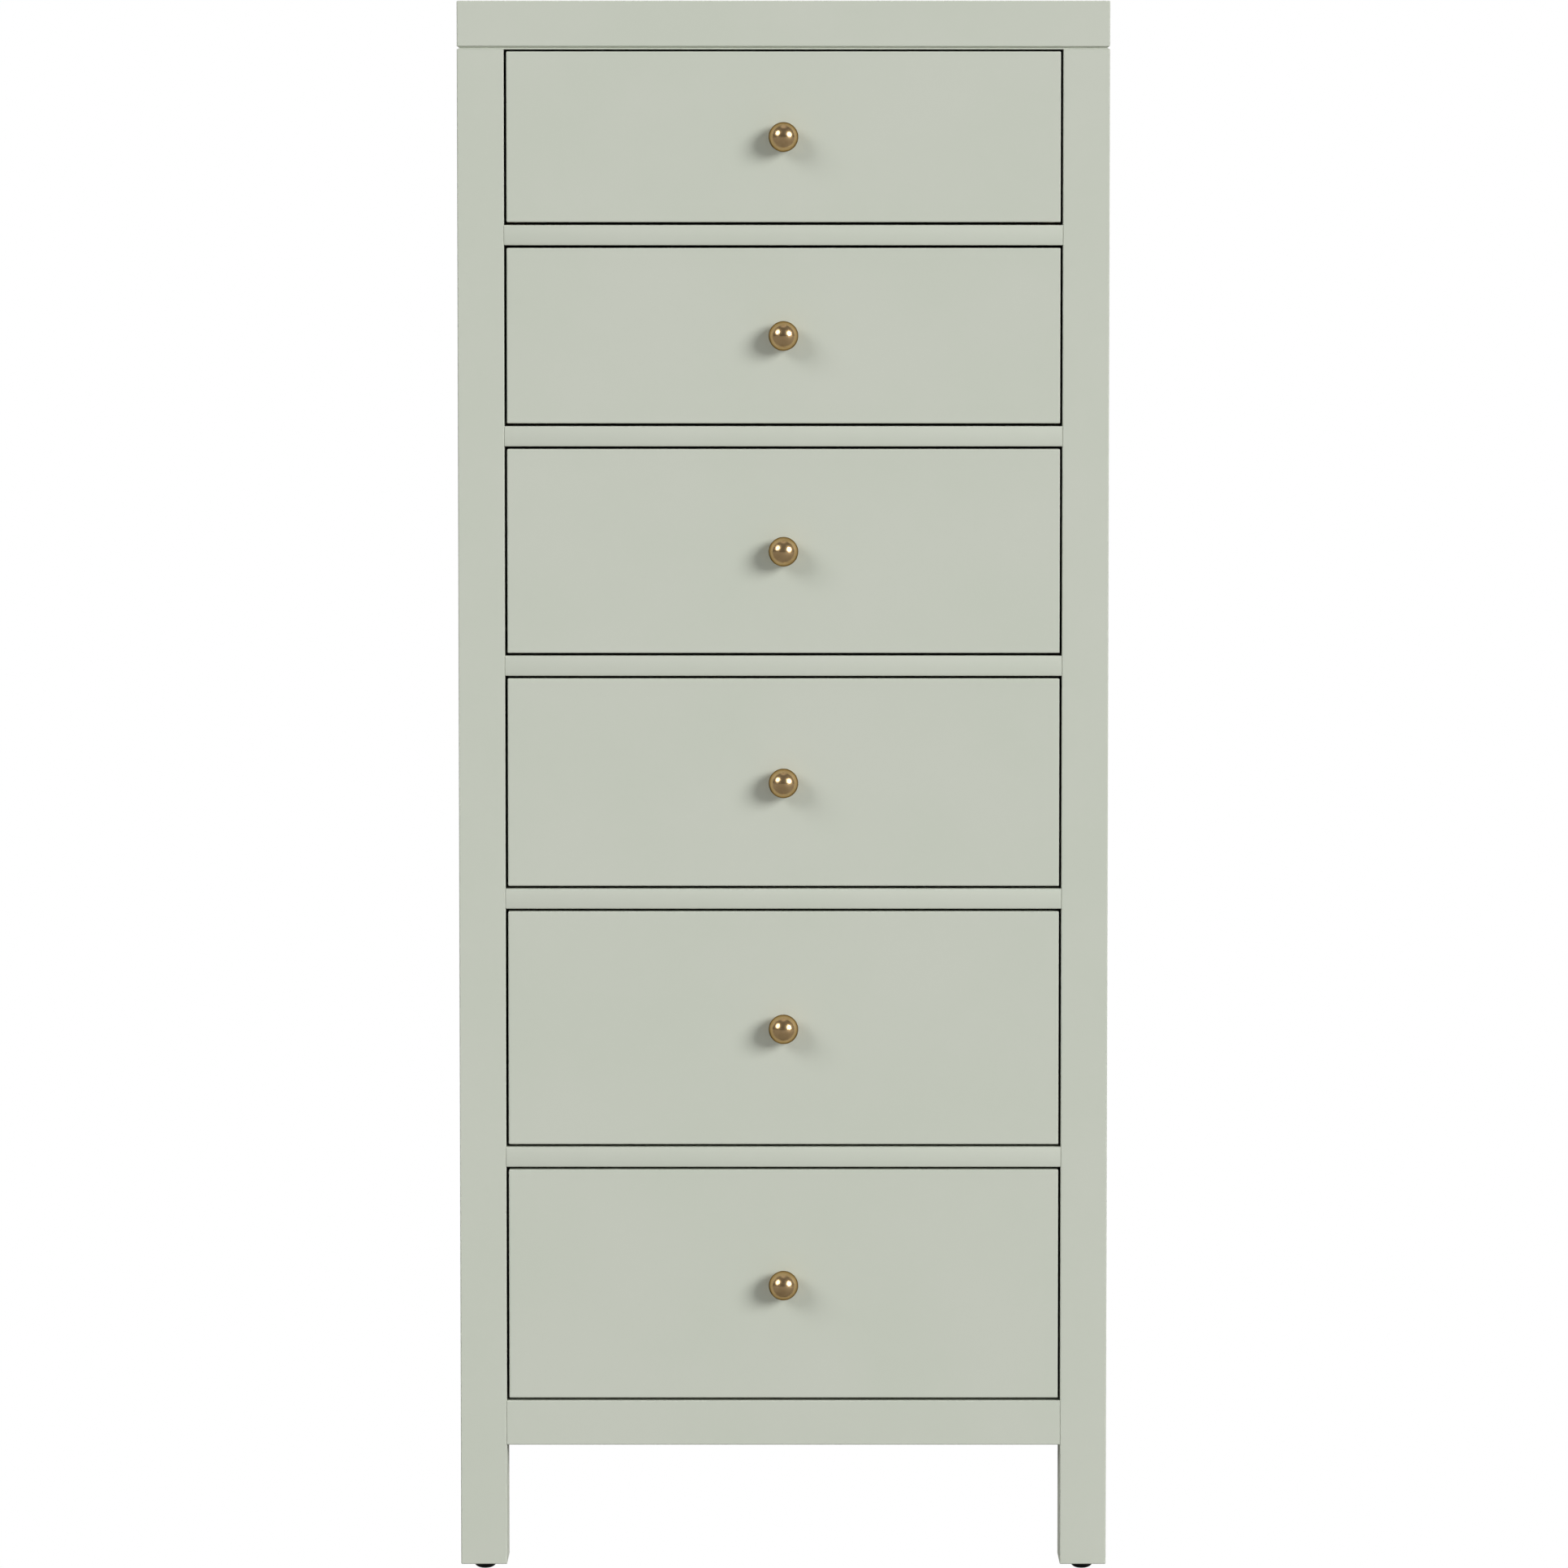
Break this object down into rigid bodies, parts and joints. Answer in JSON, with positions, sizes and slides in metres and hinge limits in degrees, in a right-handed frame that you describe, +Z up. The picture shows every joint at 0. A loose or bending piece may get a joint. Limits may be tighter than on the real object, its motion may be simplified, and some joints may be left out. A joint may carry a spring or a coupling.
{
  "type": "tall chest of drawers",
  "caption": "Tall chest of drawers with inset fronts, ball knobs, a grooved top slab, divider rails, and full-height posts that end in square legs.",
  "frame": {"origin": "on the floor, under the middle of the box that holds the chest with its knobs", "axes": "+Z up; the drawers open towards -Y; +X is to the right of someone facing the front"},
  "size_m": [0.58, 0.4244, 1.408],
  "materials": {
    "sage_lacquer": "satin lacquer, pale sage grey-green",
    "pine": "planed, clear sealed",
    "plywood": "sanded",
    "satin_brass": "brushed to a satin sheen",
    "zinc_plate": "zinc-plated steel of the screws and cam fittings",
    "black_plastic": "moulded"
  },
  "bodies": {
    "carcass": {"top_slab": "sage_lacquer", "front_left_post": "sage_lacquer", "front_right_post": "sage_lacquer", "rear_left_post": "sage_lacquer", "rear_right_post": "sage_lacquer", "left_side_panel": "sage_lacquer", "right_side_panel": "sage_lacquer", "back_panel": "sage_lacquer", "runner_frame_1": "pine", "divider_rail_1": "sage_lacquer", "runner_frame_2": "pine", "divider_rail_2": "sage_lacquer", "runner_frame_3": "pine", "divider_rail_3": "sage_lacquer", "runner_frame_4": "pine", "divider_rail_4": "sage_lacquer", "runner_frame_5": "pine", "divider_rail_5": "sage_lacquer", "runner_frame_6": "pine", "bottom_rail": "sage_lacquer", "front_left_glide": "black_plastic", "front_right_glide": "black_plastic", "rear_left_glide": "black_plastic", "rear_right_glide": "black_plastic"},
    "drawer_1": {"drawer_1_front": "sage_lacquer", "drawer_1_left_side": "pine", "drawer_1_right_side": "pine", "drawer_1_back": "pine", "drawer_1_bottom": "plywood", "drawer_1_knob": "satin_brass"},
    "drawer_2": {"drawer_2_front": "sage_lacquer", "drawer_2_left_side": "pine", "drawer_2_right_side": "pine", "drawer_2_back": "pine", "drawer_2_bottom": "plywood", "drawer_2_knob": "satin_brass"},
    "drawer_3": {"drawer_3_front": "sage_lacquer", "drawer_3_left_side": "pine", "drawer_3_right_side": "pine", "drawer_3_back": "pine", "drawer_3_bottom": "plywood", "drawer_3_knob": "satin_brass"},
    "drawer_4": {"drawer_4_front": "sage_lacquer", "drawer_4_left_side": "pine", "drawer_4_right_side": "pine", "drawer_4_back": "pine", "drawer_4_bottom": "plywood", "drawer_4_knob": "satin_brass"},
    "drawer_5": {"drawer_5_front": "sage_lacquer", "drawer_5_left_side": "pine", "drawer_5_right_side": "pine", "drawer_5_back": "pine", "drawer_5_bottom": "plywood", "drawer_5_knob": "satin_brass"},
    "drawer_6": {"drawer_6_front": "sage_lacquer", "drawer_6_left_side": "pine", "drawer_6_right_side": "pine", "drawer_6_back": "pine", "drawer_6_bottom": "plywood", "drawer_6_knob": "satin_brass"}
  },
  "joints": [
    {"name": "drawer_1_slide", "type": "slide", "parent": "carcass", "child": "drawer_1", "axis": [0, -1, 0], "range_m": [0, 0.28]},
    {"name": "drawer_2_slide", "type": "slide", "parent": "carcass", "child": "drawer_2", "axis": [0, -1, 0], "range_m": [0, 0.28]},
    {"name": "drawer_3_slide", "type": "slide", "parent": "carcass", "child": "drawer_3", "axis": [0, -1, 0], "range_m": [0, 0.28]},
    {"name": "drawer_4_slide", "type": "slide", "parent": "carcass", "child": "drawer_4", "axis": [0, -1, 0], "range_m": [0, 0.28]},
    {"name": "drawer_5_slide", "type": "slide", "parent": "carcass", "child": "drawer_5", "axis": [0, -1, 0], "range_m": [0, 0.28]},
    {"name": "drawer_6_slide", "type": "slide", "parent": "carcass", "child": "drawer_6", "axis": [0, -1, 0], "range_m": [0, 0.28]}
  ]
}
